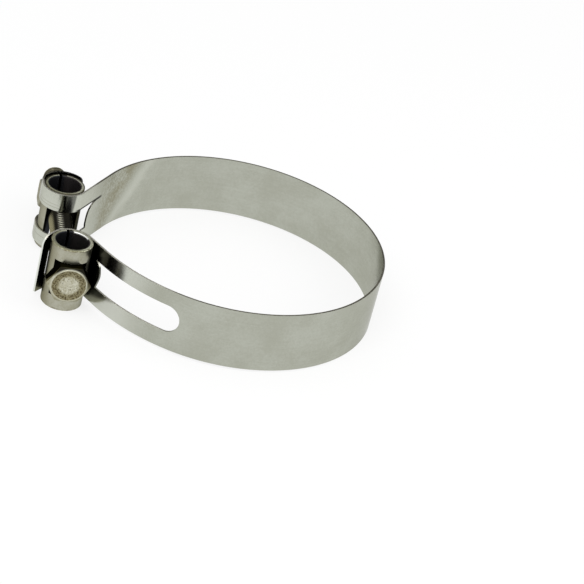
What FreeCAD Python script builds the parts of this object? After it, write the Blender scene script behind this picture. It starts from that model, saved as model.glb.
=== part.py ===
import FreeCAD, Part
import math
import os

from FreeCAD import Vector

# Heavy duty band clamp for a hose of about 150 mm.
# The origin is the centre of the hose, halfway up the band.
# +Z runs along the hose, the bolt runs along +Y, and the bolt side of the ring is -X.
# All sizes are in millimetres.

# Band
bandInnerRadius = 75.0
bandWidth = 32.0
bandThickness = 1.0

# Barrels, rolled from sheet around the bolt
barrelRadius = 10.25
barrelWall = 2.0
barrelLength = 34.5
barrelSpacing = 54.4
barrelSeamGap = 1.6
barrelRimChamfer = 0.35

# Bolt and nut, M12 with a full thread
boltDiameter = 12.0
boltLength = 100.0
boltEndChamfer = 1.5
boltStandoff = 10.9
boltDrop = 1.0
acrossFlats = 19.0
headHeight = 7.5
nutHeight = 10.0

# Clearances
strapClearance = 0.15
slotClearance = 1.2
windowClearance = 0.36
windowEndClearance = 0.3
exitHoleClearance = 0.75
headSeatClearance = 0.3
nutSeatClearance = 0.15
nutBoreClearance = 0.05
windowCornerRadius = 1.2

# Front end of the band: the long slot, the open hook and its free flap
frontBendStart = 120.0
frontStraightLength = 12.0
frontHookEnd = 137.0
frontFlapLength = 8.6
frontEndStrip = 5.5
flapTopRadius = 5.0
flapLowRadius = 0.6
longSlotPastBend = 2.8
longSlotRise = 0.5
hookSlotStart = 50.0

# Rear end of the band: the short slot and the loop that goes right round
rearLoopSlack = 2.4
rearLoopEnd = 28.0
rearLoopCornerRadius = 2.0
rearEndStrip = 5.0

# Tongues left at the slots. The root is measured along the straight part of each end.
# Points on a tongue's edge are shares of its reach and of the slot's half height.
frontTongue = {
    "root": 3.8,
    "reach": 4.2,
    "shoulder": (0.62, 0.75),
    "flank": (0.86, 0.43),
    "tip": -0.11,
    "heel": 0.60,
}
rearTongue = {
    "root": 11.5,
    "reach": 8.6,
    "shoulder": (0.48, 0.81),
    "flank": (0.90, 0.28),
    "tip": -0.51,
    "heel": 0.95,
}

# Worked out from the sizes above
halfWidth = bandWidth / 2
halfThickness = bandThickness / 2
boltRadius = boltDiameter / 2
slotHalfHeight = boltRadius + slotClearance
ringRadius = bandInnerRadius + halfThickness
boltAxisX = -(bandInnerRadius + bandThickness + boltStandoff)
frontBarrel = Vector(boltAxisX, -barrelSpacing / 2, 0)
rearBarrel = Vector(boltAxisX, barrelSpacing / 2, 0)
rearLoopBack = rearBarrel + Vector(0, rearLoopSlack, 0)
barrelBoreRadius = barrelRadius - barrelWall
windowHalfAngle = math.degrees(math.asin((boltRadius + windowClearance) / barrelBoreRadius))
windowHalfHeight = acrossFlats / 2 + windowEndClearance
hookRadius = barrelRadius + strapClearance + halfThickness
headSeatY = frontBarrel.y - barrelRadius * math.cos(math.radians(windowHalfAngle)) - headSeatClearance
nutSeatY = rearLoopBack.y + hookRadius + halfThickness + nutSeatClearance
cutterReach = 4.0 * bandThickness


def direction(angle):
    """Unit vector in the XY plane at an angle in degrees."""
    turn = math.radians(angle)
    return Vector(math.cos(turn), math.sin(turn), 0)


def angleOf(vector):
    """Angle of a vector in the XY plane, in degrees."""
    return math.degrees(math.atan2(vector.y, vector.x))


def leftOf(vector):
    """The vector turned a quarter turn to the left."""
    return Vector(-vector.y, vector.x, 0)


# Outline of the strip, as lines and arcs along its middle

def arcSpan(centre, radius, start, end):
    """An arc of the strip's middle line, travelled from start to end in degrees."""
    return {"kind": "arc", "centre": centre, "radius": radius, "start": start, "end": end}


def lineSpan(start, end):
    """A straight run of the strip's middle line."""
    return {"kind": "line", "start": start, "end": end}


def offsetEdge(span, offset):
    """The edge that runs beside a span, offset to the left of its travel."""
    if span["kind"] == "line":
        along = (span["end"] - span["start"]).normalize()
        shift = leftOf(along) * offset
        return Part.LineSegment(span["start"] + shift, span["end"] + shift).toShape()
    turnsLeft = span["end"] > span["start"]
    radius = span["radius"] - offset if turnsLeft else span["radius"] + offset
    middle = (span["start"] + span["end"]) / 2
    points = [span["centre"] + direction(a) * radius for a in (span["start"], middle, span["end"])]
    return Part.Arc(*points).toShape()


def travelStart(edge):
    return edge.Vertexes[0].Point


def travelEnd(edge):
    return edge.Vertexes[-1].Point


def stripSolid(spans, halfDepth, halfHeight, middle):
    """A strip of metal along the spans, standing on its edge, with its middle at this height."""
    left = [offsetEdge(span, halfDepth) for span in spans]
    right = [offsetEdge(span, -halfDepth) for span in spans]
    firstCap = Part.LineSegment(travelStart(left[0]), travelStart(right[0])).toShape()
    lastCap = Part.LineSegment(travelEnd(left[-1]), travelEnd(right[-1])).toShape()
    wire = Part.Wire(Part.__sortEdges__(left + right + [firstCap, lastCap]))
    face = Part.Face(wire)
    face.translate(Vector(0, 0, middle - halfHeight))
    return face.extrude(Vector(0, 0, 2 * halfHeight))


# Where the strip leaves the ring and goes round the barrels

def frontSpans():
    """Spans from the ring's front bend to the tip of the flap, in that order."""
    leave = direction(-frontBendStart)
    reach = ringRadius + hookRadius
    spare = frontBarrel.dot(frontBarrel) - reach ** 2 - frontStraightLength ** 2
    flattening = spare / (2 * (reach - frontBarrel.dot(leave)))
    bendRadius = ringRadius + flattening
    bendCentre = leave * -flattening
    toBarrel = frontBarrel - bendCentre
    swing = math.degrees(math.acos((bendRadius + hookRadius) / toBarrel.Length))
    normalAngle = angleOf(toBarrel) + swing
    normal = direction(normalAngle)
    bend = arcSpan(bendCentre, bendRadius, -frontBendStart, normalAngle)
    straightStart = bendCentre + normal * bendRadius
    straightEnd = frontBarrel - normal * hookRadius
    straight = lineSpan(straightStart, straightEnd)
    hook = arcSpan(frontBarrel, hookRadius, normalAngle + 180, frontHookEnd)
    flapStart = frontBarrel + direction(frontHookEnd) * hookRadius
    flap = lineSpan(flapStart, flapStart + leftOf(direction(frontHookEnd)) * frontFlapLength)
    return [bend, straight, hook, flap]


def rearSpans():
    """Spans from the ring to the free end of the oval rear loop, and where the ring ends."""
    swing = math.degrees(math.acos((ringRadius + hookRadius) / rearBarrel.Length))
    normalAngle = angleOf(rearBarrel) - swing
    normal = direction(normalAngle)
    side = direction(180) * hookRadius
    straight = lineSpan(normal * ringRadius, rearBarrel - normal * hookRadius)
    nearTurn = arcSpan(rearBarrel, hookRadius, normalAngle - 180, -180)
    loopSide = lineSpan(rearBarrel + side, rearLoopBack + side)
    backTurn = arcSpan(rearLoopBack, hookRadius, -180, rearLoopEnd - 360)
    return [straight, nearTurn, loopSide, backTurn], normalAngle


def pointAlong(span, distance):
    """Point and travel direction at a distance from the start of a straight span."""
    along = (span["end"] - span["start"]).normalize()
    return span["start"] + along * distance, along


# Slots, tongues and rounded ends

def tongueCutter(rootPoint, towardsTip, tongue, middle):
    """The tongue at a slot's end, drawn from its top corner round its tip to its heel."""
    up = Vector(0, 0, slotHalfHeight)
    centre = rootPoint + Vector(0, 0, middle)

    def edgePoint(reachShare, heightShare):
        return centre + towardsTip * (reachShare * tongue["reach"]) + up * heightShare

    topCorner = edgePoint(0, 1)
    heel = edgePoint(tongue["heel"], -1)
    curve = Part.BSplineCurve()
    curve.interpolate([
        topCorner,
        edgePoint(*tongue["shoulder"]),
        edgePoint(*tongue["flank"]),
        edgePoint(1, tongue["tip"]),
        heel,
    ])
    backLow = centre - towardsTip * bandThickness - up
    backTop = centre - towardsTip * bandThickness + up
    edges = [
        curve.toShape(),
        Part.LineSegment(heel, backLow).toShape(),
        Part.LineSegment(backLow, backTop).toShape(),
        Part.LineSegment(backTop, topCorner).toShape(),
    ]
    face = Part.Face(Part.Wire(edges))
    across = leftOf(towardsTip)
    face.translate(across * -cutterReach)
    return face.extrude(across * (2 * cutterReach))


def longSlotCutter(bend, straight):
    """The long slot, from its round end on the ring to the tongue beside the front barrel."""
    startAngle = bend["start"] - math.degrees((slotHalfHeight - longSlotPastBend) / bend["radius"])
    outward = direction(startAngle)
    endCentre = bend["centre"] + outward * bend["radius"] + Vector(0, 0, longSlotRise)
    roundEnd = Part.makeCylinder(slotHalfHeight, 2 * cutterReach, endCentre - outward * cutterReach, outward)
    rootPoint, along = pointAlong(straight, frontTongue["root"])
    bendPart = arcSpan(bend["centre"], bend["radius"], startAngle, bend["end"])
    spans = [bendPart, lineSpan(straight["start"], rootPoint)]
    slot = stripSolid(spans, cutterReach, slotHalfHeight, longSlotRise).fuse(roundEnd)
    return slot.cut(tongueCutter(rootPoint, along * -1, frontTongue, longSlotRise))


def hookSlotCutter(hook, flap):
    """The slot round the front barrel that the bolt passes through."""
    hookPart = arcSpan(hook["centre"], hook["radius"], hookSlotStart, hook["end"])
    slotEnd = pointAlong(flap, frontFlapLength - frontEndStrip)[0]
    flapPart = lineSpan(flap["start"], slotEnd)
    return stripSolid([hookPart, flapPart], bandThickness, slotHalfHeight, -boltDrop)


def rearSlotCutter(rear):
    """The short slot, which runs round the whole rear loop up to its end strip."""
    straight, nearTurn, loopSide, backTurn = rear
    rootPoint, along = pointAlong(straight, rearTongue["root"])
    stripAngle = math.degrees(rearEndStrip / hookRadius)
    backPart = arcSpan(rearLoopBack, hookRadius, backTurn["start"], backTurn["end"] + stripAngle)
    spans = [lineSpan(rootPoint, straight["end"]), nearTurn, loopSide, backPart]
    slot = stripSolid(spans, bandThickness, slotHalfHeight, -boltDrop)
    return slot.cut(tongueCutter(rootPoint, along, rearTongue, -boltDrop))


def roundCorners(solid, tipPoint, tipDirection, topRadius, lowRadius):
    """Round the top and the bottom corner of a free end of the strip."""
    normal = leftOf(tipDirection)
    for radius, isTop in ((topRadius, True), (lowRadius, False)):
        corners = []
        for edge in solid.Edges:
            offset = edge.CenterOfMass - tipPoint
            atTip = abs(offset.dot(tipDirection)) < 0.01 and offset.Length < bandWidth
            throughStrip = abs(edge.tangentAt(edge.FirstParameter).dot(normal)) > 0.99
            if atTip and throughStrip and (offset.z > 0) == isTop:
                corners.append(edge)
        solid = solid.makeFillet(radius, corners)
    return solid


def makeBand():
    """The one-piece band: a strip with slotted ends, formed round both barrels."""
    bend, straight, hook, flap = frontSpans()
    rear, ringEnd = rearSpans()
    ring = arcSpan(Vector(0, 0, 0), ringRadius, -frontBendStart, ringEnd)
    frontStrip = stripSolid([bend, straight, hook, flap], halfThickness, halfWidth, 0)
    ringStrip = stripSolid([ring] + rear, halfThickness, halfWidth, 0)
    band = ringStrip.fuse(frontStrip).removeSplitter()
    flapAlong = (flap["end"] - flap["start"]).normalize()
    loopTip = rearLoopBack + direction(rearLoopEnd) * hookRadius
    loopAlong = leftOf(direction(rearLoopEnd)) * -1
    band = roundCorners(band, flap["end"], flapAlong, flapTopRadius, flapLowRadius)
    band = roundCorners(band, loopTip, loopAlong, rearLoopCornerRadius, rearLoopCornerRadius)
    band = band.cut(longSlotCutter(bend, straight))
    band = band.cut(hookSlotCutter(hook, flap))
    return band.cut(rearSlotCutter(rear))


# Barrels

def windowCutter():
    """Wedge that cuts the head window, with the radial sides that rolling gives."""
    reach = 2 * barrelRadius
    sides = [direction(-90 - windowHalfAngle) * reach, direction(-90 + windowHalfAngle) * reach]
    outline = Part.makePolygon([Vector(0, 0, 0), sides[0], sides[1], Vector(0, 0, 0)])
    wedge = Part.Face(outline)
    wedge.translate(Vector(0, 0, -windowHalfHeight))
    wedge = wedge.extrude(Vector(0, 0, 2 * windowHalfHeight))
    radialEdges = []
    for edge in wedge.Edges:
        middle = edge.CenterOfMass
        liesFlat = abs(edge.tangentAt(edge.FirstParameter).z) < 0.01
        if liesFlat and math.hypot(middle.x, middle.y) > 0.9 * barrelRadius and abs(middle.x) > 1.0:
            radialEdges.append(edge)
    return wedge.makeFillet(windowCornerRadius, radialEdges)


def makeBarrel(centre):
    """A tube rolled from sheet: seam and bolt hole behind, head window in front."""
    profile = [
        Vector(barrelBoreRadius, 0, -barrelLength / 2),
        Vector(barrelRadius - barrelRimChamfer, 0, -barrelLength / 2),
        Vector(barrelRadius, 0, barrelRimChamfer - barrelLength / 2),
        Vector(barrelRadius, 0, barrelLength / 2 - barrelRimChamfer),
        Vector(barrelRadius - barrelRimChamfer, 0, barrelLength / 2),
        Vector(barrelBoreRadius, 0, barrelLength / 2),
        Vector(barrelBoreRadius, 0, -barrelLength / 2),
    ]
    tube = Part.Face(Part.makePolygon(profile)).revolve(Vector(0, 0, 0), Vector(0, 0, 1), 360)
    seam = Part.makeBox(barrelSeamGap, barrelRadius + 1, barrelLength + 2)
    seam.translate(Vector(-barrelSeamGap / 2, 0, -barrelLength / 2 - 1))
    exitHole = Part.makeCylinder(
        boltRadius + exitHoleClearance, barrelRadius + 1, Vector(0, 0, 0), Vector(0, 1, 0)
    )
    barrel = tube.cut(seam).cut(exitHole).cut(windowCutter())
    barrel.translate(centre - Vector(0, 0, boltDrop))
    return barrel


# Bolt and nut

def hexPrism(height):
    """Hexagon standing on the XY plane, with two flats facing along Y."""
    cornerRadius = acrossFlats / 2 / math.cos(math.radians(30))
    corners = [direction(60 * i) * cornerRadius for i in range(7)]
    return Part.Face(Part.makePolygon(corners)).extrude(Vector(0, 0, height))


def hexChamfer(height, bothEnds):
    """Turned body that rounds off the corners of a hexagon of this height."""
    cornerRadius = acrossFlats / 2 / math.cos(math.radians(30))
    flatRadius = 0.93 * acrossFlats / 2
    drop = (cornerRadius - flatRadius) * math.tan(math.radians(30))
    lowRadius = flatRadius if bothEnds else cornerRadius
    lowStep = drop if bothEnds else 0.0
    profile = [Vector(0, 0, 0), Vector(lowRadius, 0, 0)]
    if bothEnds:
        profile.append(Vector(cornerRadius, 0, lowStep))
    profile.append(Vector(cornerRadius, 0, height - drop))
    profile.append(Vector(flatRadius, 0, height))
    profile.append(Vector(0, 0, height))
    profile.append(Vector(0, 0, 0))
    return Part.Face(Part.makePolygon(profile)).revolve(Vector(0, 0, 0), Vector(0, 0, 1), 360)


def placeOnBolt(solid, y, pointsBack):
    """Turn a solid built along +Z so that it lies on the bolt's axis, starting at y."""
    solid.rotate(Vector(0, 0, 0), Vector(1, 0, 0), 90 if pointsBack else -90)
    solid.translate(Vector(boltAxisX, y, -boltDrop))
    return solid


def makeBolt():
    """Hexagon bolt whose head sits in the front barrel's window, flats up and down."""
    head = hexPrism(headHeight).common(hexChamfer(headHeight, False))
    head = placeOnBolt(head, headSeatY, True)
    tipRadius = boltRadius - boltEndChamfer
    profile = [
        Vector(0, 0, 0),
        Vector(boltRadius, 0, 0),
        Vector(boltRadius, 0, boltLength - boltEndChamfer),
        Vector(tipRadius, 0, boltLength),
        Vector(0, 0, boltLength),
        Vector(0, 0, 0),
    ]
    shank = Part.Face(Part.makePolygon(profile)).revolve(Vector(0, 0, 0), Vector(0, 0, 1), 360)
    shank = placeOnBolt(shank, headSeatY, False)
    return head.fuse(shank).removeSplitter()


def makeNut():
    """Hexagon nut that bears on the back of the rear loop, one corner up."""
    nut = hexPrism(nutHeight).common(hexChamfer(nutHeight, True))
    nut.rotate(Vector(0, 0, 0), Vector(0, 0, 1), 30)
    boreRadius = boltRadius + nutBoreClearance
    nut = nut.cut(Part.makeCylinder(boreRadius, nutHeight))
    for z, up in ((0, 1), (nutHeight, -1)):
        rim = Part.makeCone(boreRadius + 0.7, boreRadius, 0.7, Vector(0, 0, z), Vector(0, 0, up))
        nut = nut.cut(rim)
    return placeOnBolt(nut, nutSeatY, False)


def main():
    os.makedirs("parts", exist_ok=True)
    pieces = {
        "band": makeBand(),
        "front_barrel": makeBarrel(frontBarrel),
        "rear_barrel": makeBarrel(rearBarrel),
        "bolt": makeBolt(),
        "nut": makeNut(),
    }
    for node, shape in pieces.items():
        shape.exportStep("parts/" + node + ".step")
        box = shape.BoundBox
        print(node, "solids", len(shape.Solids), "valid", shape.isValid(), "volume", round(shape.Volume))
        print("   x %.2f %.2f  y %.2f %.2f  z %.2f %.2f" % (
            box.XMin, box.XMax, box.YMin, box.YMax, box.ZMin, box.ZMax))


main()
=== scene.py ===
import math

import bmesh
import bpy
from mathutils import Matrix, Vector, noise


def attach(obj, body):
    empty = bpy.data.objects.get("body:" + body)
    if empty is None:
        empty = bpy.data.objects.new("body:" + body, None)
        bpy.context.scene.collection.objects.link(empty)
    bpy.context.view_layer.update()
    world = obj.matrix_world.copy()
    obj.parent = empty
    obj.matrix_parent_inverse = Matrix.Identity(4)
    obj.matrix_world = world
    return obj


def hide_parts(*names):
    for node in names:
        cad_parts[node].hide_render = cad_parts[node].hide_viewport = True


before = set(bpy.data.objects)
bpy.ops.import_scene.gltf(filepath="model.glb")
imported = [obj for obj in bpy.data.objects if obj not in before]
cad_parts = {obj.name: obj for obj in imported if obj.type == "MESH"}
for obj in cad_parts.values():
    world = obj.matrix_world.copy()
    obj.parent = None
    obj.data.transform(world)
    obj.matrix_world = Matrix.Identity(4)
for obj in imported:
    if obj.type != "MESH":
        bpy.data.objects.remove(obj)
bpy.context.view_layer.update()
bpy.context.scene.view_settings.view_transform = "Standard"
mm = 0.001

# All sizes below are in millimetres, in the frame of the CAD part.
boltLine = {"x": -86.9, "z": -1.0, "frontBarrelY": -27.2, "rearBarrelY": 27.2}
samePlace = 0.001  # points closer together than this are merged


# Working in edit mode

def onlyThis(piece):
    if bpy.context.object and bpy.context.object.mode != "OBJECT":
        bpy.ops.object.mode_set(mode="OBJECT")
    bpy.ops.object.select_all(action="DESELECT")
    piece.select_set(True)
    bpy.context.view_layer.objects.active = piece


def startEdit(piece):
    onlyThis(piece)
    bpy.ops.object.mode_set(mode="EDIT")
    bpy.ops.mesh.select_mode(type="VERT")
    bpy.ops.mesh.select_all(action="SELECT")


def endEdit():
    bpy.ops.object.mode_set(mode="OBJECT")


def faceOutwards():
    bpy.ops.mesh.select_all(action="SELECT")
    bpy.ops.mesh.remove_doubles(threshold=samePlace * mm)
    bpy.ops.mesh.normals_make_consistent(inside=False)


def mendSurface(piece):
    startEdit(piece)
    faceOutwards()
    endEdit()


def newPiece(name, points, edges=(), faces=()):
    mesh = bpy.data.meshes.new(name)
    mesh.from_pydata([Vector(p) * mm for p in points], edges, faces)
    piece = bpy.data.objects.new(name, mesh)
    bpy.context.scene.collection.objects.link(piece)
    return piece


def applyModifier(piece, kind, settings):
    onlyThis(piece)
    bpy.ops.object.modifier_add(type=kind)
    modifier = piece.modifiers[-1]
    for key, value in settings.items():
        setattr(modifier, key, value)
    bpy.ops.object.modifier_apply(modifier=modifier.name)


def combine(piece, cutter, operation="DIFFERENCE"):
    applyModifier(piece, "BOOLEAN", {"operation": operation, "solver": "EXACT", "object": cutter})
    bpy.data.objects.remove(cutter)


def softenEdges(piece, width, angle=50.0):
    applyModifier(piece, "BEVEL", {
        "width": width * mm, "segments": 2, "limit_method": "ANGLE",
        "angle_limit": math.radians(angle), "use_clamp_overlap": True})


def smoothSurface(piece, angle=35.0):
    onlyThis(piece)
    bpy.ops.object.shade_smooth_by_angle(angle=math.radians(angle))
    applyModifier(piece, "WEIGHTED_NORMAL", {"mode": "FACE_AREA", "weight": 50, "keep_sharp": True})


def placeIntoMesh(piece):
    onlyThis(piece)
    bpy.ops.object.transform_apply(location=True, rotation=True, scale=True)


def settle(piece, place, layOnBolt=False):
    # put the piece in its place and keep that place in its mesh; along the bolt, +Z becomes +Y
    if layOnBolt:
        piece.matrix_world = Matrix.Rotation(math.radians(-90), 4, "X") @ piece.matrix_world
    piece.matrix_world = Matrix.Translation(Vector(place) * mm) @ piece.matrix_world
    placeIntoMesh(piece)


def plate(name, outline, halfDepth):
    # a flat plate with this outline in X and Z, halfDepth thick on each side of Y = 0
    piece = newPiece(name, [(x, -halfDepth, z) for x, z in outline], faces=[range(len(outline))])
    startEdit(piece)
    bpy.ops.mesh.extrude_region_move(TRANSFORM_OT_translate={"value": (0, 2 * halfDepth * mm, 0)})
    faceOutwards()
    endEdit()
    return piece


def turned(name, profile, steps=96, angle=360.0, startAngle=0.0):
    # a body turned about the Z axis from an outline of (radius, height) points
    points = [(r, 0, h) for r, h in profile]
    if angle < 360:
        piece = newPiece(name, points, faces=[range(len(points))])
    else:
        startsOnAxis = profile[0][0] == 0
        sides = [(i, (i + 1) % len(points)) for i in range(len(points) - startsOnAxis)]
        piece = newPiece(name, points, edges=sides)
    startEdit(piece)
    bpy.ops.mesh.spin(steps=steps, angle=math.radians(angle), center=(0, 0, 0), axis=(0, 0, 1))
    faceOutwards()
    endEdit()
    piece.matrix_world = Matrix.Rotation(math.radians(startAngle), 4, "Z")
    return piece


# Lines and directions

def compass(angle):
    return Vector((math.cos(math.radians(angle)), math.sin(math.radians(angle))))


def bearing(vector):
    return math.degrees(math.atan2(vector.y, vector.x))


def cornerArc(centreX, centreZ, radius, start, end, steps):
    angles = [math.radians(start + (end - start) * i / steps) for i in range(steps + 1)]
    return [(centreX + radius * math.cos(a), centreZ + radius * math.sin(a)) for a in angles]


def smoothThrough(points, steps):
    # a smooth line through the points, with this many steps between two of them
    ends = [points[0]] + list(points) + [points[-1]]
    line = []
    for a, b, c, d in zip(ends, ends[1:], ends[2:], ends[3:]):
        a, b, c, d = Vector(a), Vector(b), Vector(c), Vector(d)
        for i in range(steps):
            t = i / steps
            point = b + (c - a) * (t / 2) + (a * 2 - b * 5 + c * 4 - d) * (t * t / 2)
            line.append(tuple(point + (b * 3 - a - c * 3 + d) * (t ** 3 / 2)))
    return line + [tuple(points[-1])]


# Band: a flat strip is cut out first, and then bent along its route

band = {
    "innerRadius": 75.0, "width": 32.0, "thickness": 1.0, "edgeRound": 0.13,
    "hookRadius": 10.9, "frontBendStart": 120.0, "frontStraight": 12.0, "frontHookEnd": 137.0,
    "flapLength": 8.6, "flapStrip": 5.5, "flapTopRadius": 5.0, "flapLowRadius": 0.6,
    "rearLoopSlack": 2.4, "rearLoopEnd": 28.0, "loopCornerRadius": 2.0, "rearStrip": 5.0,
    "slotHalf": 7.2, "longSlotPastBend": 2.8, "longSlotRise": 0.5, "hookSlotStart": 50.0,
    # a tongue's edge is given from low to high, in shares of its reach and of half the slot
    "frontTongue": {"root": 3.8, "reach": 4.2,
                    "edge": [(0.60, -1.0), (1.0, -0.11), (0.86, 0.43), (0.62, 0.75), (0.0, 1.0)]},
    "rearTongue": {"root": 11.5, "reach": 8.6,
                   "edge": [(0.95, -1.0), (1.0, -0.51), (0.90, 0.28), (0.48, 0.81), (0.0, 1.0)]},
    "cutterHalfDepth": 2.0, "stepOnRing": 1.6, "stepOnHooks": 0.6, "stepOnGuide": 0.4,
}


def arc(centre, radius, start, end):
    length = math.radians(abs(end - start)) * radius
    step = band["stepOnHooks"] if radius == band["hookRadius"] else band["stepOnRing"]
    return {"length": length, "cuts": math.ceil(length / step), "start": start,
            "at": lambda share: centre + compass(start + (end - start) * share) * radius}


def straight(start, end):
    return {"length": (end - start).length, "cuts": 1, "at": lambda share: start.lerp(end, share)}


def bandRoute():
    # arcs and straights along the middle of the strip, from the rear loop's end to the flap's end
    ringRadius = band["innerRadius"] + band["thickness"] / 2
    hook = band["hookRadius"]
    reach = ringRadius + hook
    rearBarrel = Vector((boltLine["x"], boltLine["rearBarrelY"]))
    frontBarrel = Vector((boltLine["x"], boltLine["frontBarrelY"]))
    loopBack = rearBarrel + Vector((0, band["rearLoopSlack"]))
    side = Vector((-hook, 0))
    rearLeave = bearing(rearBarrel) - math.degrees(math.acos(reach / rearBarrel.length))

    # the ring opens out a little before the front straight, so that the straight has its length
    bendStart = -band["frontBendStart"]
    spare = frontBarrel.length_squared - reach ** 2 - band["frontStraight"] ** 2
    flattening = spare / (2 * (reach - frontBarrel.dot(compass(bendStart))))
    bendRadius = ringRadius + flattening
    bendCentre = compass(bendStart) * -flattening
    toBarrel = frontBarrel - bendCentre
    frontLeave = bearing(toBarrel) + math.degrees(math.acos((bendRadius + hook) / toBarrel.length))
    hookEnd = band["frontHookEnd"]
    flapStart = frontBarrel + compass(hookEnd) * hook
    return {
        "loopBack": arc(loopBack, hook, band["rearLoopEnd"] - 360, -180),
        "loopSide": straight(loopBack + side, rearBarrel + side),
        "rearHook": arc(rearBarrel, hook, -180, rearLeave - 180),
        "rearStraight": straight(rearBarrel - compass(rearLeave) * hook, compass(rearLeave) * ringRadius),
        "ring": arc(Vector((0, 0)), ringRadius, rearLeave, bendStart),
        "frontBend": arc(bendCentre, bendRadius, bendStart, frontLeave),
        "frontStraight": straight(
            bendCentre + compass(frontLeave) * bendRadius, frontBarrel - compass(frontLeave) * hook),
        "frontHook": arc(frontBarrel, hook, frontLeave + 180, hookEnd),
        "flap": straight(flapStart, flapStart + compass(hookEnd + 90) * band["flapLength"]),
    }


def tongueEdge(tongue, root, middle):
    # the end of a slot beside a tongue
    reach, half = tongue["reach"], band["slotHalf"]
    points = [(root - along * reach, middle + up * half) for along, up in tongue["edge"]]
    return smoothThrough(points, steps=5)


def cutStrip(route, starts, length):
    half, slotHalf, boltZ = band["width"] / 2, band["slotHalf"], boltLine["z"]
    top, low, end = band["flapTopRadius"], band["flapLowRadius"], band["loopCornerRadius"]
    outline = cornerArc(length - top, half - top, top, 0, 90, steps=10)
    outline += cornerArc(end, half - end, end, 90, 180, steps=8)
    outline += cornerArc(end, end - half, end, 180, 270, steps=8)
    outline += cornerArc(length - low, low - half, low, 270, 360, steps=4)
    strip = plate("bandStrip", outline, band["thickness"] / 2)

    # long slot in front, with its round end on the ring and the tongue beside the front barrel
    rise = band["longSlotRise"]
    roundEnd = starts["frontBend"] - band["longSlotPastBend"] + slotHalf
    longSlot = cornerArc(roundEnd, rise, slotHalf, 90, 270, steps=24)
    tongue = band["frontTongue"]
    longSlot += tongueEdge(tongue, starts["frontStraight"] + tongue["root"], rise)

    # slot that lets the bolt through the front hook
    pastHookStart = math.radians(band["hookSlotStart"] - route["frontHook"]["start"]) * band["hookRadius"]
    slotStart, slotEnd = starts["frontHook"] + pastHookStart, length - band["flapStrip"]
    hookSlot = [(slotStart, boltZ - slotHalf), (slotEnd, boltZ - slotHalf),
                (slotEnd, boltZ + slotHalf), (slotStart, boltZ + slotHalf)]

    # slot round the rear loop, which ends at the larger tongue
    rearSlot = [(band["rearStrip"], boltZ + slotHalf), (band["rearStrip"], boltZ - slotHalf)]
    tongue = band["rearTongue"]
    rearSlot += tongueEdge(tongue, starts["ring"] - tongue["root"], boltZ)

    for name, slot in (("longSlot", longSlot), ("hookSlot", hookSlot), ("rearSlot", rearSlot)):
        combine(strip, plate(name, slot, band["cutterHalfDepth"]))
    softenEdges(strip, band["edgeRound"])
    return strip


def divideStrip(strip, route, starts):
    # cut the strip across, close enough together to bend smoothly
    startEdit(strip)
    for name, part in route.items():
        for i in range(part["cuts"]):
            bpy.ops.mesh.select_all(action="SELECT")
            place = (starts[name] + part["length"] * i / part["cuts"]) * mm
            bpy.ops.mesh.bisect(plane_co=(place, 0, 0), plane_no=(1, 0, 0))
    endEdit()


def bendStrip(strip, route):
    points = []
    for part in route.values():
        count = math.ceil(part["length"] / band["stepOnGuide"])
        points += [part["at"](i / count) for i in range(count)]
    points.append(route["flap"]["at"](1.0))
    line = bpy.data.curves.new("bandRoute", "CURVE")
    line.dimensions = "3D"
    line.twist_mode = "Z_UP"
    spline = line.splines.new("POLY")
    spline.points.add(len(points) - 1)
    for spot, point in zip(spline.points, points):
        spot.co = (point.x * mm, point.y * mm, 0, 1)
    guide = bpy.data.objects.new("bandRoute", line)
    bpy.context.scene.collection.objects.link(guide)
    applyModifier(strip, "CURVE", {"object": guide, "deform_axis": "POS_X"})
    bpy.data.objects.remove(guide)


def makeBand():
    route = bandRoute()
    starts, length = {}, 0.0
    for name, part in route.items():
        starts[name] = length
        length += part["length"]
    strip = cutStrip(route, starts, length)
    divideStrip(strip, route, starts)
    bendStrip(strip, route)
    mendSurface(strip)
    smoothSurface(strip)
    return strip


# Barrels: rolled tubes with a seam, a window for the bolt's head and a hole behind it

barrel = {
    "radius": 10.25, "wall": 2.0, "length": 34.5, "seamGap": 1.6, "insideCad": 0.01,
    "rim": 0.35, "boreEdge": 0.45, "edgeRound": 0.22,
    "windowHalfAngle": 50.4, "windowHalfHeight": 9.8, "windowCorner": 1.2, "exitHole": 6.75,
}


def windowCutter(reach):
    # its sides run straight out from the axis, and its corners are round
    high, sweep = barrel["windowHalfHeight"], barrel["windowHalfAngle"]
    outline = [Vector((0, 0)), compass(-90 - sweep) * reach, compass(-90 + sweep) * reach]
    wedge = newPiece("window", [(p.x, p.y, -high) for p in outline], faces=[(0, 1, 2)])
    startEdit(wedge)
    bpy.ops.mesh.extrude_region_move(TRANSFORM_OT_translate={"value": (0, 0, 2 * high * mm)})
    faceOutwards()
    mesh = bmesh.from_edit_mesh(wedge.data)
    bpy.ops.mesh.select_all(action="DESELECT")
    for side in mesh.edges:
        a, b = (corner.co for corner in side.verts)
        isLevel = abs(a.z - b.z) < mm
        side.select_set(isLevel and min(a.xy.length, b.xy.length) < mm)
    bmesh.update_edit_mesh(wedge.data)
    bpy.ops.mesh.bevel(offset=barrel["windowCorner"] * mm, segments=5, affect="EDGES")
    endEdit()
    return wedge


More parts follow.
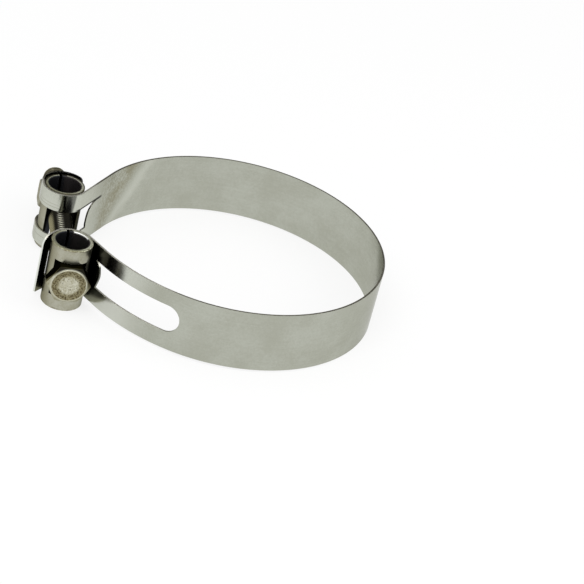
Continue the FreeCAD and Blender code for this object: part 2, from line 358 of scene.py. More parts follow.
def makeBarrel(name, y):
    outer = barrel["radius"] - barrel["insideCad"]
    inner = barrel["radius"] - barrel["wall"]
    half = barrel["length"] / 2 - barrel["insideCad"]
    rim, bore = barrel["rim"], barrel["boreEdge"]
    seam = math.degrees(barrel["seamGap"] / (outer + inner))
    profile = cornerArc(outer - rim, half - rim, rim, 0, 90, steps=3)
    profile += cornerArc(inner + bore, half - bore, bore, 90, 180, steps=4)
    profile += cornerArc(inner + bore, bore - half, bore, 180, 270, steps=4)
    profile += cornerArc(outer - rim, rim - half, rim, 270, 360, steps=3)
    tube = turned(name, profile, angle=360 - 2 * seam, startAngle=90 + seam)
    placeIntoMesh(tube)

    reach = 2 * barrel["radius"]
    combine(tube, windowCutter(reach))
    bpy.ops.mesh.primitive_cylinder_add(
        vertices=48, radius=barrel["exitHole"] * mm, depth=reach * mm,
        location=(0, reach / 2 * mm, 0), rotation=(math.radians(90), 0, 0))
    combine(tube, bpy.context.object)
    softenEdges(tube, barrel["edgeRound"])
    settle(tube, (boltLine["x"], y, boltLine["z"]))
    smoothSurface(tube)
    return tube


# Bolt and nut

bolt = {
    "radius": 5.93, "rootRadius": 4.95, "pitch": 1.75, "rootHalfFlat": 0.12, "crestFlat": 0.23,
    "length": 99.9, "endChamfer": 1.5, "stepsPerTurn": 32, "creaseAngle": 28,
}
head = {
    "seatY": -34.03, "height": 7.48, "acrossFlats": 18.98, "faceRadius": 8.83, "edgeRound": 0.18,
    "turn": 30, "creaseAngle": 24,
}
nut = {
    "seatY": 41.16, "height": 9.98, "acrossFlats": 18.96, "faceRadius": 8.83, "edgeRound": 0.18,
    "turn": 0, "creaseAngle": 24, "bore": 6.0, "boreChamferWidth": 0.75, "boreChamferDepth": 0.8,
}
forging = {
    "gridCells": 52, "margin": 0.45, "fade": 0.9, "depth": 0.16, "deepest": 1.5, "average": 0.45,
    "noiseScale": 0.9, "roughMiddle": 0.45, "roughBelt": 0.75, "beltRadius": 6.6, "beltWidth": 1.5,
}


def cornerRadius(size):
    return size["acrossFlats"] / 2 / math.cos(math.radians(30))


def chamferedEnd(size):
    # outline of a hexagon's end, from the flat face out over the chamfer, as (radius, depth) points;
    # the last one is 1 mm past the corners and 0.577 mm deeper than them, for a clean cut
    face, soft, corner = size["faceRadius"], size["edgeRound"], cornerRadius(size)
    drop = (corner - face) * math.tan(math.radians(30))
    return [(face - soft, 0.0), (face - 0.2 * soft, 0.35 * soft), (face + 0.3 * soft, 0.9 * soft),
            (corner + 1, drop + 0.577)]


def hexBody(name, profile, size):
    # a turned body cut to a hexagon whose edges are softened first
    height = size["height"]
    bpy.ops.mesh.primitive_cylinder_add(
        vertices=6, radius=cornerRadius(size) * mm, depth=height * mm,
        location=(0, 0, height / 2 * mm), rotation=(0, 0, math.radians(size["turn"])))
    prism = bpy.context.object
    placeIntoMesh(prism)
    softenEdges(prism, size["edgeRound"])
    body = turned(name, profile)
    combine(body, prism, "INTERSECT")
    mendSurface(body)
    return body


def forgeEnd(body):
    # the end of the head is left rough from forging, so it gets a close grid that is then dented
    face, cells, margin = head["faceRadius"], forging["gridCells"], forging["margin"]
    endHeight = (head["height"] - 0.01) * mm
    startEdit(body)
    for across in ((1, 0, 0), (0, 1, 0)):
        for i in range(1, cells):
            mesh = bmesh.from_edit_mesh(body.data)
            bpy.ops.mesh.select_all(action="DESELECT")
            for side in mesh.faces:
                side.select_set(side.normal.z > 0.999 and side.calc_center_median().z > endHeight)
            bmesh.update_edit_mesh(body.data)
            place = Vector(across) * ((2 * i / cells - 1) * face * mm)
            bpy.ops.mesh.bisect(plane_co=place, plane_no=across)
    endEdit()
    for point in body.data.vertices:
        radius = point.co.xy.length / mm
        if point.co.z > endHeight and radius < face - margin:
            fade = min(1.0, (face - margin - radius) / forging["fade"])
            inBelt = math.exp(-((radius - forging["beltRadius"]) / forging["beltWidth"]) ** 2)
            uneven = noise.fractal(point.co / mm * forging["noiseScale"], 1.0, 2.0, 3)
            uneven *= forging["roughMiddle"] + forging["roughBelt"] * inBelt
            dent = min(forging["deepest"], max(0.0, forging["average"] + uneven))
            point.co.z -= forging["depth"] * mm * fade * dent


def makeHead():
    end, height = chamferedEnd(head), head["height"]
    profile = [(0.0, 0.0), (end[-1][0], 0.0)] + [(r, height - depth) for r, depth in reversed(end)]
    body = hexBody("boltHead", profile + [(0.0, height)], head)
    forgeEnd(body)
    body.matrix_world = Matrix.Rotation(math.radians(180), 4, "X")
    settle(body, (boltLine["x"], head["seatY"], boltLine["z"]), layOnBolt=True)
    smoothSurface(body, head["creaseAngle"])
    return body


def makeShank():
    pitch, crest, valley = bolt["pitch"], bolt["radius"], bolt["rootRadius"]
    flat, tip = bolt["rootHalfFlat"], bolt["crestFlat"]
    flank = (pitch - 2 * flat - tip) / 2
    chain = [(valley, 0.0), (valley, flat), (crest, flat + flank), (crest, flat + flank + tip),
             (valley, pitch - flat), (valley, pitch)]
    links = [(i, i + 1) for i in range(len(chain) - 1)]
    shank = newPiece("boltShank", [(r, 0, h) for r, h in chain], edges=links)
    applyModifier(shank, "SCREW", {
        "axis": "Z", "screw_offset": pitch * mm, "iterations": math.ceil(bolt["length"] / pitch) + 2,
        "steps": bolt["stepsPerTurn"], "render_steps": bolt["stepsPerTurn"],
        "use_merge_vertices": True, "merge_threshold": samePlace * mm})

    # both ends are cut square, one pitch in from the ends of the helix
    low, high = pitch, pitch + bolt["length"]
    startEdit(shank)
    bpy.ops.mesh.remove_doubles(threshold=samePlace * mm)
    for height, way in ((low, -1), (high, 1)):
        bpy.ops.mesh.select_all(action="SELECT")
        bpy.ops.mesh.bisect(plane_co=(0, 0, height * mm), plane_no=(0, 0, way), clear_outer=True)
    endEdit()

    # the chamfer on the bolt's free end draws the thread in, and then both ends are closed
    for point in shank.data.vertices:
        radius, fromEnd = point.co.xy.length, high * mm - point.co.z
        limit = (crest - bolt["endChamfer"]) * mm + fromEnd
        if radius > limit:
            point.co.x *= limit / radius
            point.co.y *= limit / radius
    startEdit(shank)
    bpy.ops.mesh.remove_doubles(threshold=samePlace * mm)
    bpy.ops.mesh.fill_holes(sides=0)
    faceOutwards()
    endEdit()
    settle(shank, (boltLine["x"], head["seatY"] - pitch, boltLine["z"]), layOnBolt=True)
    bpy.ops.object.shade_smooth_by_angle(angle=math.radians(bolt["creaseAngle"]))
    return shank


def makeNut():
    bore, height = nut["bore"], nut["height"]
    profile = [(bore, nut["boreChamferDepth"]), (bore + nut["boreChamferWidth"], 0.0)] + chamferedEnd(nut)
    profile += [(r, height - depth) for r, depth in reversed(profile)]
    body = hexBody("nutBody", profile, nut)
    settle(body, (boltLine["x"], nut["seatY"], boltLine["z"]), layOnBolt=True)
    smoothSurface(body, nut["creaseAngle"])
    return body


# Tools for the finishes

class Signal:
    # a socket that can be reckoned with
    def __init__(self, bench, socket):
        self.bench, self.socket = bench, socket

    def __add__(self, other):
        return self.bench.maths("ADD", self, other)

    def __sub__(self, other):
        return self.bench.maths("SUBTRACT", self, other)

    def __rsub__(self, other):
        return self.bench.maths("SUBTRACT", other, self)

    def __mul__(self, other):
        return self.bench.maths("MULTIPLY", self, other)

    def __pow__(self, other):
        return self.bench.maths("POWER", self, other)

    def __abs__(self):
        return self.bench.maths("ABSOLUTE", self)

    __radd__, __rmul__ = __add__, __mul__


class Bench:
    # a place to lay out nodes
    def __init__(self, tree):
        self.tree = tree
        self.tree.nodes.clear()

    def node(self, kind, settings=None, sockets=None, out=0):
        made = self.tree.nodes.new(kind)
        for key, value in (settings or {}).items():
            setattr(made, key, value)
        for key, value in (sockets or {}).items():
            if isinstance(value, Signal):
                self.tree.links.new(value.socket, made.inputs[key])
            else:
                made.inputs[key].default_value = value
        return Signal(self, made.outputs[out])

    def maths(self, operation, first, second=0.0):
        return self.node("ShaderNodeMath", {"operation": operation}, {0: first, 1: second})

    def hypotenuse(self, first, second):
        return (first * first + second * second) ** 0.5

    def seenDirectly(self):
        # 1 for what the camera sees, straight or in a reflection, and 0 for what lights the object
        seen = [self.node("ShaderNodeLightPath", out=name) for name in (
            "Is Camera Ray", "Is Glossy Ray", "Is Transmission Ray")]
        return self.node("ShaderNodeClamp", {}, {0: seen[0] + seen[1] + seen[2]})


class Finish(Bench):
    def __init__(self, name):
        self.material = bpy.data.materials.new(name)
        self.material.use_nodes = True
        super().__init__(self.material.node_tree)
        self.shader = self.tree.nodes.new("ShaderNodeBsdfPrincipled")
        self.end = self.tree.nodes.new("ShaderNodeOutputMaterial")
        self.tree.links.new(self.shader.outputs[0], self.end.inputs["Surface"])
        place = self.node("ShaderNodeTexCoord", out="Object")
        self.point = self.node("ShaderNodeVectorMath", {"operation": "SCALE"}, {0: place, "Scale": 1 / mm})
        self.x, self.y, self.z = (
            self.node("ShaderNodeSeparateXYZ", {}, {0: self.point}, i) for i in range(3))

    def facing(self, axis):
        # from -1 to 1, how far the surface faces along an axis
        normal = self.node("ShaderNodeTexCoord", out="Normal")
        return self.node("ShaderNodeSeparateXYZ", {}, {0: normal}, "XYZ".index(axis))

    def stretched(self, x, y, z):
        return self.node("ShaderNodeCombineXYZ", {}, {0: self.x * x, 1: self.y * y, 2: self.z * z})

    def cloud(self, vector, scale=1.0, detail=3.0, roughness=0.55):
        return self.node("ShaderNodeTexNoise", {}, {
            "Vector": vector, "Scale": scale, "Detail": detail, "Roughness": roughness})

    def above(self, value, low, high):
        # 0 up to low, 1 from high on, and smooth between them
        return self.node("ShaderNodeMapRange", {"interpolation_type": "SMOOTHSTEP"}, {
            "Value": value, "From Min": low, "From Max": high, "To Min": 0.0, "To Max": 1.0})

    def below(self, value, low, high):
        return 1 - self.above(value, low, high)

    def within(self, value, low, full, fade, high):
        # 1 between full and fade, and 0 outside low and high
        return self.above(value, low, full) * self.below(value, fade, high)

    def hump(self, value, middle, reach):
        return self.below(abs(value - middle), 0.0, reach)

    def blend(self, amount, first, second):
        colours = [c if isinstance(c, Signal) else (*c, 1.0) for c in (first, second)]
        return self.node("ShaderNodeMix", {"data_type": "RGBA"}, {0: amount, 6: colours[0], 7: colours[1]}, 2)

    def bump(self, height, strength, distance, under=None):
        sockets = {"Height": height, "Strength": strength, "Distance": distance * mm}
        if under is not None:
            sockets["Normal"] = under
        return self.node("ShaderNodeBump", {}, sockets)

    def gapShadeMask(self, reach, low, high):
        # painted shade: 1 far in the gaps between pieces and 0 in the open
        openness = self.node("ShaderNodeAmbientOcclusion", {"samples": 8}, {"Distance": reach * mm}, 1)
        nearFloor = self.below(self.z, -18.5, -6.0)
        return self.below(openness + nearFloor * 0.5, low, high)

    def steel(self, tint, colour, roughness, normal):
        self.shader.inputs["Metallic"].default_value = 1.0
        self.shader.inputs["Specular Tint"].default_value = (*tint, 1)
        for key, value in (("Base Color", colour), ("Roughness", roughness), ("Normal", normal)):
            self.tree.links.new(value.socket, self.shader.inputs[key])
        return self.material


# Band steel: satin strip with drawn lines and sheared edges, and painted shade and painted sheen beside the
# hardware

bandLook = {
    "tint": (0.72, 0.72, 0.69), "pale": (0.455, 0.470, 0.408), "dull": (0.395, 0.405, 0.340),
    "hooks": (0.545, 0.560, 0.490), "arms": (0.620, 0.635, 0.570), "flap": (0.740, 0.760, 0.700),
    "innerOlive": (0.270, 0.258, 0.175), "edge": (0.20, 0.185, 0.14), "hookEdge": (0.88, 0.86, 0.75),
    "armShade": (0.105, 0.098, 0.075), "gap": (0.022, 0.022, 0.020),
    "drawnLines": ((8.1, 0.28), (9.7, 0.2), (-11.2, 0.28)),
}


def bandTones(finish, worn, onHooks):
    colour = finish.blend(worn, bandLook["pale"], bandLook["dull"])
    colour = finish.blend(onHooks * (1 - worn * 0.4), colour, bandLook["hooks"])
    # the front arms and the flap are painted lighter, as painted sheen
    onArms = finish.below(finish.x, -64.0, -46.0) * finish.below(finish.y, -24.0, -16.0)
    colour = finish.blend(onArms * 0.7, colour, bandLook["arms"])
    onFlap = finish.below(finish.x, -98.0, -95.0) * finish.below(finish.y, -24.0, -20.0)
    return finish.blend(onFlap * 0.9, colour, bandLook["flap"])


def bandInnerBands(finish, colour, patches, grain):
    # darker olive bands inside the band, where the rear end meets the ring, with a lighter streak beside them
    slant = finish.x + finish.z * -0.55 + patches * 9.0
    inBack = finish.above(finish.y, 33.0, 42.0) * finish.above(finish.facing("Y") * -1, 0.1, 0.3)
    smear = finish.hump(slant, -53.0, 8.0) * finish.above(grain + patches, 0.75, 1.15)
    fainter = finish.hump(slant, -63.0, 10.0) * finish.above(grain, 0.40, 0.62) * 0.7
    colour = finish.blend((smear + fainter) * inBack * 0.95, colour, bandLook["innerOlive"])
    return finish.blend(finish.hump(slant, -43.0, 5.0) * inBack * 0.7, colour, bandLook["hooks"])


def bandPaintedDark(finish, colour, patches):
    # painted dark reflection on the outside of the two arms, darkest beside the front barrel
    armShade = finish.below(finish.x + patches * 3.0, -63.5, -60.0) * finish.below(finish.y, -36.0, -26.0)
    armShade = armShade * finish.above(finish.z - finish.x * 0.6, 30.5, 33.5)
    armShade = armShade * finish.above(finish.facing("Y") * -1, 0.2, 0.4)
    colour = finish.blend(armShade * 0.75, colour, bandLook["armShade"])
    colour = finish.blend(armShade * finish.below(finish.x, -69.4, -67.2) * 0.75, colour, bandLook["gap"])
    # painted dark reflection on the rear loop beside the bolt
    paintedDark = finish.above(finish.x + finish.z * 0.08, -87.6, -86.2)
    paintedDark = paintedDark * finish.below(finish.x + finish.z * -0.06, -83.0, -81.8)
    paintedDark = paintedDark * finish.within(finish.y, 10.0, 12.0, 17.4, 18.6)
    return finish.blend(paintedDark * 0.72, colour, bandLook["gap"])


def bandEdges(finish, colour, sheared):
    # painted shade along the rear slot, pale where the shears cut the ends, and painted shade behind the rear
    # loop
    slotShade = finish.within(finish.z, 5.6, 5.9, 7.0, 7.4) * finish.above(finish.y, 17.0, 19.0)
    slotShade = slotShade * finish.within(finish.x, -82.0, -80.0, -66.5, -65.0)
    colour = finish.blend(slotShade, colour, bandLook["gap"])
    nicks = finish.above(finish.cloud(finish.point, 1.6, 3.0, 0.7), 0.50, 0.62)
    pale = 1 - finish.above(finish.x, -48.0, -34.0) * (1 - nicks * 0.35)
    pale = pale * finish.below(finish.y, 28.0, 34.0)
    edgeTone = finish.blend(pale, bandLook["edge"], bandLook["hookEdge"])
    colour = finish.blend(sheared * 0.9, colour, edgeTone)
    # painted shade behind the rear loop, on its sheared edges and on its free end
    loopBack = finish.above(finish.y, 31.0, 34.0) * finish.within(finish.x, -94.0, -91.0, -76.0, -74.0)
    loopEnd = finish.above(finish.z, 13.4, 14.2) * finish.above(finish.x, -82.0, -80.0)
    return finish.blend((sheared + loopEnd) * loopBack, colour, bandLook["gap"])


def bandFinish():
    finish = Finish("bandSatin")
    lines = finish.cloud(finish.stretched(0.02, 0.02, 1.3), 1.0, 4.0, 0.6)
    fine = finish.cloud(finish.stretched(0.12, 0.12, 7.0), 1.0, 3.0, 0.7)
    patches = finish.cloud(finish.point, 0.05, 3.0)
    grain = finish.cloud(finish.point, 0.8, 5.0, 0.7)
    worn = finish.above(patches * 0.5 + lines * 0.15 + grain * 0.35, 0.36, 0.64)
    onHooks = finish.below(finish.x, -74.0, -66.0)
    sheared = finish.above(abs(finish.facing("Z")), 0.5, 0.85)
    colour = bandTones(finish, worn, onHooks)
    colour = bandInnerBands(finish, colour, patches, grain)

    # fine lines drawn along the rear loop
    drawn = sum(finish.hump(finish.z, height, width) for height, width in bandLook["drawnLines"])
    drawn = drawn * finish.below(finish.x, -92.0, -88.0) * finish.above(finish.y, 12.0, 16.0)
    colour = finish.blend(drawn * 0.5, colour, bandLook["edge"])

    colour = bandPaintedDark(finish, colour, patches)
    colour = bandEdges(finish, colour, sheared)
    # painted shade in the gaps beside the hardware
    gapShade = finish.gapShadeMask(14, 0.36, 0.74) * finish.below(finish.x, -60.0, -50.0)
    colour = finish.blend(gapShade * (1 - sheared * 0.6) * 0.97, colour, bandLook["gap"])
    roughness = 0.15 + worn * 0.06 + fine * 0.05 + sheared * 0.25 - onHooks * 0.05
    relief = finish.bump(fine * 0.6 + lines * 0.4, 0.22, 0.010)
    relief = finish.bump(grain, 0.25, 0.018, relief)
    relief = finish.bump(drawn, 0.5, -0.05, relief)
    return finish.steel(bandLook["tint"], colour, roughness, relief)


# Barrel steel: tumbled, with cut rims and nicks where the tube was parted off, and painted shade in the bores
# and on the flanks, and a painted highlight

barrelLook = {
    "tint": (0.45, 0.45, 0.42), "pale": (0.455, 0.452, 0.372), "olive": (0.355, 0.345, 0.255),
    "flank": (0.245, 0.232, 0.155), "bore": (0.040, 0.042, 0.048), "boreShadeBrown": (0.070, 0.062, 0.062),
    "rim": (0.850, 0.860, 0.680), "rimLeft": (0.430, 0.430, 0.285), "glint": (0.98, 0.98, 0.95),
    "nick": (0.17, 0.14, 0.075), "gap": (0.022, 0.021, 0.018),
}


def barrelSideShade(finish, colour, height, isRear, atRim):
    # painted shade down the left flanks, on the rear barrel's right flank and in the gaps
    leftShade = finish.below(finish.x, -97.0, -92.5)
    colour = finish.blend(leftShade * (0.80 - isRear * 0.5), colour, barrelLook["flank"])
    rightShade = finish.above(finish.x, -81.6, -80.6) * isRear * finish.below(finish.y, 24.0, 27.0)
    colour = finish.blend(rightShade * 0.93, colour, barrelLook["gap"])
    atWindow = finish.below(height, 9.3, 9.8)
    gapShade = finish.gapShadeMask(
        10, 0.12 + atWindow * 0.14 + isRear * 0.18, 0.38 + atWindow * 0.22 + isRear * 0.26)
    return finish.blend(gapShade * (1 - atRim * 0.7) * 0.97, colour, barrelLook["gap"])


def barrelRims(finish, colour, radius, isRear, atRim):
    # the rims are darker on the left, and the rear one has painted shade where the loop hides it
    dull = finish.below(finish.x + finish.y * 0.6 + isRear * -32.6, -107.0, -100.0)
    outerEdge = finish.above(radius, 9.5, 10.1)
    tone = finish.blend(dull * 0.75 + outerEdge * 0.25, barrelLook["rim"], barrelLook["rimLeft"])
    atBack = finish.above(finish.y, 26.0, 32.0)
    behindLoop = isRear * finish.above(radius + atBack * 0.5, 9.6, 9.85)
    tone = finish.blend(behindLoop * 0.9, tone, barrelLook["gap"])
    colour = finish.blend(atRim, colour, tone)
    # the seam is wider at the rims, on the side away from the window
    seam = finish.above(finish.x, -88.0, -87.6) * finish.below(finish.x + isRear * -0.5, -86.0, -85.6)
    farSide = finish.above(finish.y, 30.0, 31.0) + finish.above(finish.y, -24.0, -23.0) * (1 - isRear)
    return finish.blend(seam * farSide * atRim * 0.95, colour, barrelLook["gap"])


def barrelFinish():
    finish = Finish("barrelTumbled")
    offX = finish.x - boltLine["x"]
    radius = finish.maths(
        "MINIMUM", finish.hypotenuse(offX, finish.y - boltLine["frontBarrelY"]),
        finish.hypotenuse(offX, finish.y - boltLine["rearBarrelY"]))
    height = abs(finish.z - boltLine["z"])
    isRear = finish.above(finish.y, -5.0, 5.0)
    atRim = finish.above(height, 16.75, 17.05)
    nearRim = finish.above(height, 16.2, 16.7)
    patches = finish.cloud(finish.point, 0.16, 4.0, 0.6)
    grain = finish.cloud(finish.point, 1.3, 4.0, 0.65)
    dulled = finish.above(patches * 0.6 + grain * 0.4, 0.38, 0.66)
    colour = finish.blend(dulled, barrelLook["pale"], barrelLook["olive"])
    colour = barrelSideShade(finish, colour, height, isRear, atRim)
    colour = barrelRims(finish, colour, radius, isRear, atRim)
    nicks = finish.above(finish.cloud(finish.point, 0.75, 4.0, 0.75), 0.47, 0.58)
    nicks = nicks * nearRim * finish.above(radius, 9.3, 9.9)
    colour = finish.blend(nicks * 0.8, colour, barrelLook["nick"])

    # a painted highlight on the far inner edge of the front barrel, right of the seam
    paintedHighlight = finish.above(finish.x, -85.9, -85.2) * finish.above(finish.y, -25.0, -23.5) * (1 - isRear)
    inside = finish.below(radius + paintedHighlight * 0.32, 8.55, 8.75)
    # the bores are painted dark as shade, a little browner on one side
    tinted = finish.above(offX + patches * 3.0, 1.0, 3.0)
    boreShade = finish.blend(tinted, barrelLook["bore"], barrelLook["boreShadeBrown"])
    colour = finish.blend(inside, colour, boreShade)
    colour = finish.blend(paintedHighlight * nearRim * finish.below(radius, 8.75, 9.05), colour, barrelLook["glint"])
    roughness = 0.25 + grain * 0.12 + atRim * 0.14 + inside * 0.2
    relief = finish.bump(grain * 0.7 + patches * 0.6, 0.4, 0.03)
    relief = finish.bump(nicks, 0.7, -0.10, relief)
    return finish.steel(barrelLook["tint"], colour, roughness, relief)


# Fastener steel: dull, with painted shade and painted highlights on the thread and the head, and a head face
# left rough from forging

fastenerLook = {
    "tint": (0.35, 0.34, 0.29), "pale": (0.520, 0.520, 0.405), "olive": (0.350, 0.325, 0.200),
    "sides": (0.120, 0.108, 0.066), "shaft": (0.170, 0.158, 0.105), "cream": (0.66, 0.65, 0.54),
    "scale": (0.075, 0.058, 0.028), "tarnish": (0.275, 0.228, 0.110), "root": (0.07, 0.065, 0.045),
    "gap": (0.015, 0.014, 0.010), "paintedDark": (0.007, 0.007, 0.007),
}


def hexagonShading(finish, colour, offX, offZ, radius, grain):
    # the nut is painted pale on its left flat as a painted highlight, and the head has painted shade on its
    # sides, darkest towards its seat and up its chamfer
    onNut = finish.above(finish.y, 40.0, 41.0) * finish.above(radius, 6.1, 6.4)
    colour = finish.blend(onNut * 0.7, colour, fastenerLook["olive"])
    colour = finish.blend(onNut * finish.below(offX, -9.3, -8.3) * 0.8, colour, fastenerLook["cream"])
    onHead = finish.below(finish.y, -33.5, -32.5)
    facesFront = finish.above(finish.facing("Y") * -1, 0.3, 0.6)
    sides = onHead * (1 - facesFront)
    colour = finish.blend(sides * (0.66 + grain * 0.4), colour, fastenerLook["sides"])
    onLeft = finish.below(offX, -11.0, -7.5)
    seatShade = finish.above(finish.y - onLeft * 2.0, -41.0, -39.9)
    colour = finish.blend(sides * seatShade, colour, fastenerLook["gap"])
    chamfer = onHead * facesFront * finish.above(radius, 8.85, 9.0)
    shaded = finish.above(offZ + offX * 0.35, 1.0, 5.0)
    colour = finish.blend(chamfer * (0.25 + shaded * 0.75), colour, fastenerLook["sides"])
    onTop = finish.above(offZ + offX * 0.2, 3.0, 6.0)
    return finish.blend(chamfer * onTop * 0.97, colour, fastenerLook["gap"])


def forgedFace(finish, colour, offX, offZ, radius, onFace):
    # a pale middle with streaks round it, in a belt of tarnish, scale and pits
    around = finish.maths("ARCTAN2", offZ, offX)
    swirl = finish.node("ShaderNodeCombineXYZ", {}, {
        0: finish.maths("COSINE", around) * 5.0, 1: finish.maths("SINE", around) * 5.0, 2: radius * 0.8})
    streaks = finish.above(finish.cloud(swirl, 1.0, 5.0, 0.75), 0.46, 0.58)
    forged = onFace * finish.below(radius, 8.2, 8.5)
    belt = finish.below(abs(radius - 7.0) + (streaks - 0.5) * 0.6, 0.8, 2.7)
    spots = finish.above(finish.cloud(finish.point, 0.95, 5.0, 0.75) + belt * 0.19, 0.54, 0.68)
    pits = finish.above(finish.cloud(finish.point, 1.3, 3.0, 0.6) + belt * 0.13, 0.63, 0.71)
    blots = finish.above(finish.cloud(finish.point, 0.55, 3.0, 0.6) + belt * 0.10, 0.62, 0.68)
    for amount, tone in (
            (forged * (1 - belt) * 0.8, "cream"), (onFace * (1 - forged) * 0.35, "cream"),
            (forged * streaks * 0.7, "olive"), (forged * blots * 0.75, "scale"),
            (forged * spots * 0.9, "olive"), (forged * belt * spots * 0.45, "sides"),
            (forged * belt * 0.36, "tarnish"), (forged * pits * 0.9, "scale")):
        colour = finish.blend(amount, colour, fastenerLook[tone])
    return colour, forged, forged * (spots + pits)


def threadShading(finish, colour, offX, radius, shaft, onFace):
    # between the barrels the shaft is painted black as shade, with painted highlights on its crests and down
    # its left side
    threadShade = finish.below(abs(finish.y), 20.0, 24.0) * shaft
    paintedHighlight = threadShade * finish.hump(offX, -1.4, 2.1) * finish.above(radius, 5.60, 5.85)
    colour = finish.blend(shaft * (1 - onFace), colour, fastenerLook["shaft"])
    colour = finish.blend(threadShade, colour, fastenerLook["paintedDark"])
    colour = finish.blend(paintedHighlight, colour, fastenerLook["cream"])
    colour = finish.blend(threadShade * finish.below(offX, -5.3, -4.0), colour, fastenerLook["olive"])
    beforeEnd = finish.below(finish.y, 64.3, 64.6)
    # painted shade in the thread's roots
    rootShade = finish.below(radius, 5.05, 5.75) * (1 - onFace) * beforeEnd
    return finish.blend(rootShade * 0.85, colour, fastenerLook["root"]), paintedHighlight


def fastenerFinish():
    finish = Finish("fastenerDull")
    offX, offZ = finish.x - boltLine["x"], finish.z - boltLine["z"]
    radius = finish.hypotenuse(offX, offZ)
    onFace = finish.below(finish.y, head["seatY"] - 7.2, head["seatY"] - 7.0)
    shaft = finish.below(radius, 6.0, 6.2)
    grain = finish.cloud(finish.point, 1.1, 5.0, 0.7)
    patches = finish.cloud(finish.point, 0.22, 3.0)
    dulled = finish.above(patches * 0.5 + grain * 0.5, 0.40, 0.64)
    colour = finish.blend(dulled, fastenerLook["pale"], fastenerLook["olive"])
    colour = hexagonShading(finish, colour, offX, offZ, radius, grain)
    colour, forged, dents = forgedFace(finish, colour, offX, offZ, radius, onFace)
    colour, paintedHighlight = threadShading(finish, colour, offX, radius, shaft, onFace)
    # painted shade in the gaps
    gapShade = finish.gapShadeMask(12, 0.46, 0.90) * (1 - onFace) * (1 - paintedHighlight * 0.9)
    colour = finish.blend(gapShade * 0.94, colour, fastenerLook["gap"])
    roughness = 0.25 + grain * 0.12 + forged * 0.14 - shaft * 0.08
    relief = finish.bump(grain, 0.35, 0.04)
    relief = finish.bump(dents, 0.7, -0.10, relief)
    return finish.steel(fastenerLook["tint"], colour, roughness, relief)


# Studio, with places in metres

studio = {
    "skyForDiffuse": 0.78, "lampSize": 0.8,
    "keyLamp": {"place": (-0.5, -0.7, 1.1), "power": 6.0},
    "fillLamp": {"place": (0.9, -0.4, 0.7), "power": 2.5},
    "cardSize": (5.0, 2.2), "cardPlace": (0.5, 2.6, 1.75), "cardColour": (0.03, 0.03, 0.035),
}
floorLook = {
    "size": 8.0, "z": -16.0, "rise": 0.79, "colour": (0.97, 0.97, 0.97), "roughness": 0.9, "gloss": 0.1,
    "glow": 0.78, "shadeStrength": 0.98, "shadeFrom": 25, "shadeFull": 32,
    "underCentre": (-64.5, -21.0), "underRadius": 17.0, "underFade": 20.5,
    "besideCentre": (-110.0, -43.0), "besideSquash": 0.33, "besideRadius": 3.9, "besideFade": 4.9,
}
view = {
    "place": (-0.24848, -0.95145, 0.56497), "lens": 137.44, "sensor": 36.0,
    "right": (0.96334, -0.15234, 0.22085), "up": (-0.10574, 0.54095, 0.83438),
    "back": (-0.24658, -0.82714, 0.50501),
}


def makeWorld():
    world = bpy.data.worlds.new("softRoom")
    bpy.context.scene.world = world
    world.use_nodes = True
    bench = Bench(world.node_tree)
    white = (1, 1, 1, 1)
    dim = bench.node("ShaderNodeBackground", {}, {"Color": white, "Strength": studio["skyForDiffuse"]})
    full = bench.node("ShaderNodeBackground", {}, {"Color": white, "Strength": 1.0})
    sky = bench.node("ShaderNodeMixShader", {}, {0: bench.seenDirectly(), 1: dim, 2: full})
    out = bench.tree.nodes.new("ShaderNodeOutputWorld")
    bench.tree.links.new(sky.socket, out.inputs["Surface"])


def floorShade(paper):
    # the shade under the hardware and beside it shows only as a reflection in the metal
    centreX, centreY = floorLook["underCentre"]
    apart = paper.hypotenuse(paper.x - centreX, paper.y - centreY)
    under = paper.below(apart, floorLook["underRadius"], floorLook["underFade"])
    centreX, centreY = floorLook["besideCentre"]
    apart = paper.hypotenuse((paper.x - centreX) * floorLook["besideSquash"], paper.y - centreY)
    beside = paper.below(apart, floorLook["besideRadius"], floorLook["besideFade"])
    shade = paper.node("ShaderNodeClamp", {}, {0: under + beside})
    travelled = paper.node("ShaderNodeLightPath", out="Ray Length")
    shade = shade * paper.above(travelled, floorLook["shadeFrom"] * mm, floorLook["shadeFull"] * mm)
    return shade * paper.node("ShaderNodeLightPath", out="Is Glossy Ray") * floorLook["shadeStrength"]


def makeFloor():
    # the clamp lies on the barrels' lower ends and on the far edge of the ring
    bpy.ops.mesh.primitive_plane_add(size=floorLook["size"])
    floor = bpy.context.object
    floor.name = "floor"
    tilt = math.radians(floorLook["rise"])
    farEdge = band["innerRadius"] + band["thickness"]
    floor.rotation_euler = (0, -tilt, 0)
    floor.location = (0, 0, (floorLook["z"] - farEdge * math.tan(tilt)) * mm)
    paper = Finish("floorPaper")
    paper.shader.inputs["Base Color"].default_value = (*floorLook["colour"], 1)
    paper.shader.inputs["Roughness"].default_value = floorLook["roughness"]
    paper.shader.inputs["Specular IOR Level"].default_value = floorLook["gloss"]
    lit = Signal(paper, paper.shader.outputs[0])
    glow = paper.node("ShaderNodeEmission", {}, {"Strength": 1.0})
    dark = paper.node("ShaderNodeEmission", {}, {"Strength": 0.0})
    glowing = paper.seenDirectly() * floorLook["glow"]
    lit = paper.node("ShaderNodeMixShader", {}, {0: glowing, 1: lit, 2: glow})
    lit = paper.node("ShaderNodeMixShader", {}, {0: floorShade(paper), 1: lit, 2: dark})
    paper.tree.links.new(lit.socket, paper.end.inputs["Surface"])
    floor.data.materials.append(paper.material)


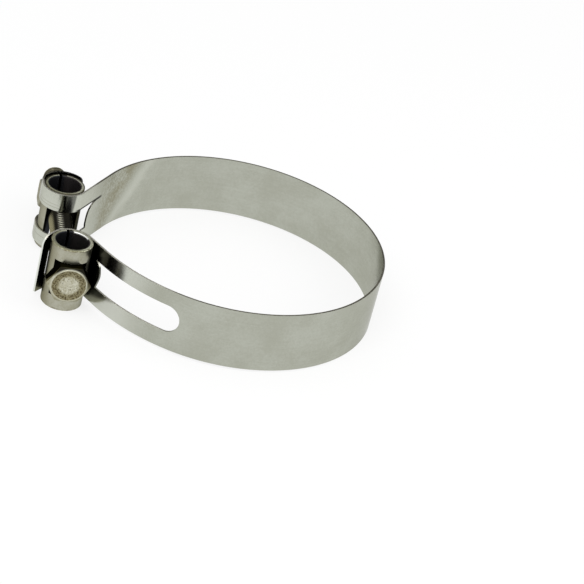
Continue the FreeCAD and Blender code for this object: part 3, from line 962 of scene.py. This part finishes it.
def makeCard(name):
    # a dark card behind the view that only shows as a reflection in the metal
    place = Vector(studio["cardPlace"])
    bpy.ops.mesh.primitive_plane_add(size=1.0, location=place)
    card = bpy.context.object
    card.name = name
    card.scale = (*studio["cardSize"], 1)
    card.rotation_euler = (-place).to_track_quat("Z", "Y").to_euler()
    card.visible_camera = card.visible_diffuse = card.visible_shadow = False
    paint = bpy.data.materials.new(name)
    paint.use_nodes = True
    shader = paint.node_tree.nodes["Principled BSDF"]
    shader.inputs["Base Color"].default_value = (*studio["cardColour"], 1)
    shader.inputs["Roughness"].default_value = 1.0
    card.data.materials.append(paint)


def makeLamp(name):
    place = Vector(studio[name]["place"])
    lamp = bpy.data.lights.new(name, "AREA")
    lamp.shape, lamp.size, lamp.energy = "SQUARE", studio["lampSize"], studio[name]["power"]
    holder = bpy.data.objects.new(name, lamp)
    holder.location = place
    holder.rotation_euler = place.to_track_quat("Z", "Y").to_euler()
    bpy.context.scene.collection.objects.link(holder)


def makeCamera():
    lens = bpy.data.cameras.new("camera")
    lens.sensor_width, lens.lens = view["sensor"], view["lens"]
    lens.clip_start, lens.clip_end = 0.05, 20.0
    camera = bpy.data.objects.new("camera", lens)
    turn = Matrix((view["right"], view["up"], view["back"])).transposed().to_4x4()
    camera.matrix_world = Matrix.Translation(view["place"]) @ turn
    bpy.context.scene.collection.objects.link(camera)
    bpy.context.scene.camera = camera


def dress(piece, material, node, body):
    piece.data.materials.clear()
    piece.data.materials.append(material)
    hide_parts(node)
    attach(piece, body)
    print("made", piece.name, "for", node, "with", len(piece.data.polygons), "faces")


makeCamera()
makeWorld()
makeFloor()
makeCard("darkCard")
makeLamp("keyLamp")
makeLamp("fillLamp")
print("studio ready")

bandSteel, barrelSteel, fastenerSteel = bandFinish(), barrelFinish(), fastenerFinish()
print("finishes ready")

dress(makeBand(), bandSteel, "band", "band_body")
frontBarrel = makeBarrel("frontBarrel", boltLine["frontBarrelY"])
dress(frontBarrel, barrelSteel, "front_barrel", "band_body")
rearBarrel = makeBarrel("rearBarrel", boltLine["rearBarrelY"])
dress(rearBarrel, barrelSteel, "rear_barrel", "rear_barrel_body")
dress(makeHead(), fastenerSteel, "bolt", "bolt_body")
dress(makeShank(), fastenerSteel, "bolt", "bolt_body")
dress(makeNut(), fastenerSteel, "nut", "nut_body")

# the CAD nodes have the same steels under their detailed pieces
steelOf = {"band": bandSteel, "front_barrel": barrelSteel, "rear_barrel": barrelSteel}
for name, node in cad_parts.items():
    node.data.materials.clear()
    node.data.materials.append(steelOf.get(name, fastenerSteel))

print("scene ready")
